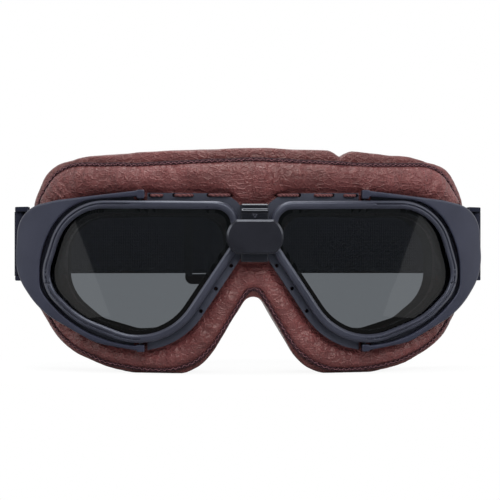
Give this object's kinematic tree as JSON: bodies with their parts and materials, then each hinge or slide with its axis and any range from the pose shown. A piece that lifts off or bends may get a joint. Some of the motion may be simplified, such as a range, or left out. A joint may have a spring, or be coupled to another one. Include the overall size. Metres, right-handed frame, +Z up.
{
  "type": "aviator goggles",
  "caption": "Wrapped flying goggles with smoke lenses, a laced leather face pad, hinged outriggers, a sliding bridge cover and an elastic strap with a slider.",
  "frame": {"origin": "centre of the bounding box in plan, at the level of the two cheek lobes that the goggles stand on", "axes": "+Z up, the lenses face -Y, the strap lies behind at +Y, +X is the viewer's right"},
  "size_m": [0.1898, 0.113, 0.088],
  "materials": {
    "rim_black": "matt black moulded",
    "smoke_lens": "polished smoke tint",
    "seal_rubber": "matt",
    "frame_black": "matt black moulded",
    "brown_thread": "waxed thread",
    "slate_plastic": "slate black, fine texture",
    "pin_steel": "plain",
    "lining_leather": "dark leather",
    "bridge_gloss": "gloss black",
    "cover_satin": "satin black",
    "brown_leather": "red-brown pebbled leather",
    "dark_thread": "dark red-brown overlock thread",
    "pad_foam": "open foam",
    "elastic_black": "woven elastic",
    "slider_plastic": "moulded black"
  },
  "bodies": {
    "mask": {"left_lens_rim": "rim_black", "left_lens": "smoke_lens", "left_lens_seal": "seal_rubber", "left_eye_frame": "frame_black", "left_frame_lacing": "brown_thread", "left_eye_lining": "lining_leather", "right_lens_rim": "rim_black", "right_lens": "smoke_lens", "right_lens_seal": "seal_rubber", "right_eye_frame": "frame_black", "right_frame_lacing": "brown_thread", "right_eye_lining": "lining_leather", "nose_bridge": "bridge_gloss", "front_leather_panel": "brown_leather", "edge_binding": "dark_thread", "rear_leather_cover": "brown_leather", "foam_core": "pad_foam", "strap": "elastic_black"},
    "left_arm": {"left_outrigger": "slate_plastic", "left_hinge_pins": "pin_steel", "left_strap_bar": "pin_steel"},
    "right_arm": {"right_outrigger": "slate_plastic", "right_hinge_pins": "pin_steel", "right_strap_bar": "pin_steel"},
    "cover": {"bridge_cover": "cover_satin"},
    "slider": {"strap_slider": "slider_plastic"}
  },
  "joints": [
    {"name": "left_outrigger_hinge", "type": "hinge", "parent": "mask", "child": "left_arm", "pos_m": [-0.0436, -0.03692, 0.04], "axis": [0, 0, 1], "range_deg": [0, 14], "deforming": ["strap"]},
    {"name": "right_outrigger_hinge", "type": "hinge", "parent": "mask", "child": "right_arm", "pos_m": [0.0436, -0.03692, 0.04], "axis": [0, 0, -1], "range_deg": [0, 14], "deforming": ["strap"]},
    {"name": "bridge_cover_slide", "type": "slide", "parent": "mask", "child": "cover", "axis": [0, 0, -1], "range_m": [0, 0.012]},
    {"name": "strap_slider_slide", "type": "slide", "parent": "mask", "child": "slider", "axis": [1, 0, 0], "range_m": [-0.02, 0.02], "deforming": ["strap"]}
  ]
}
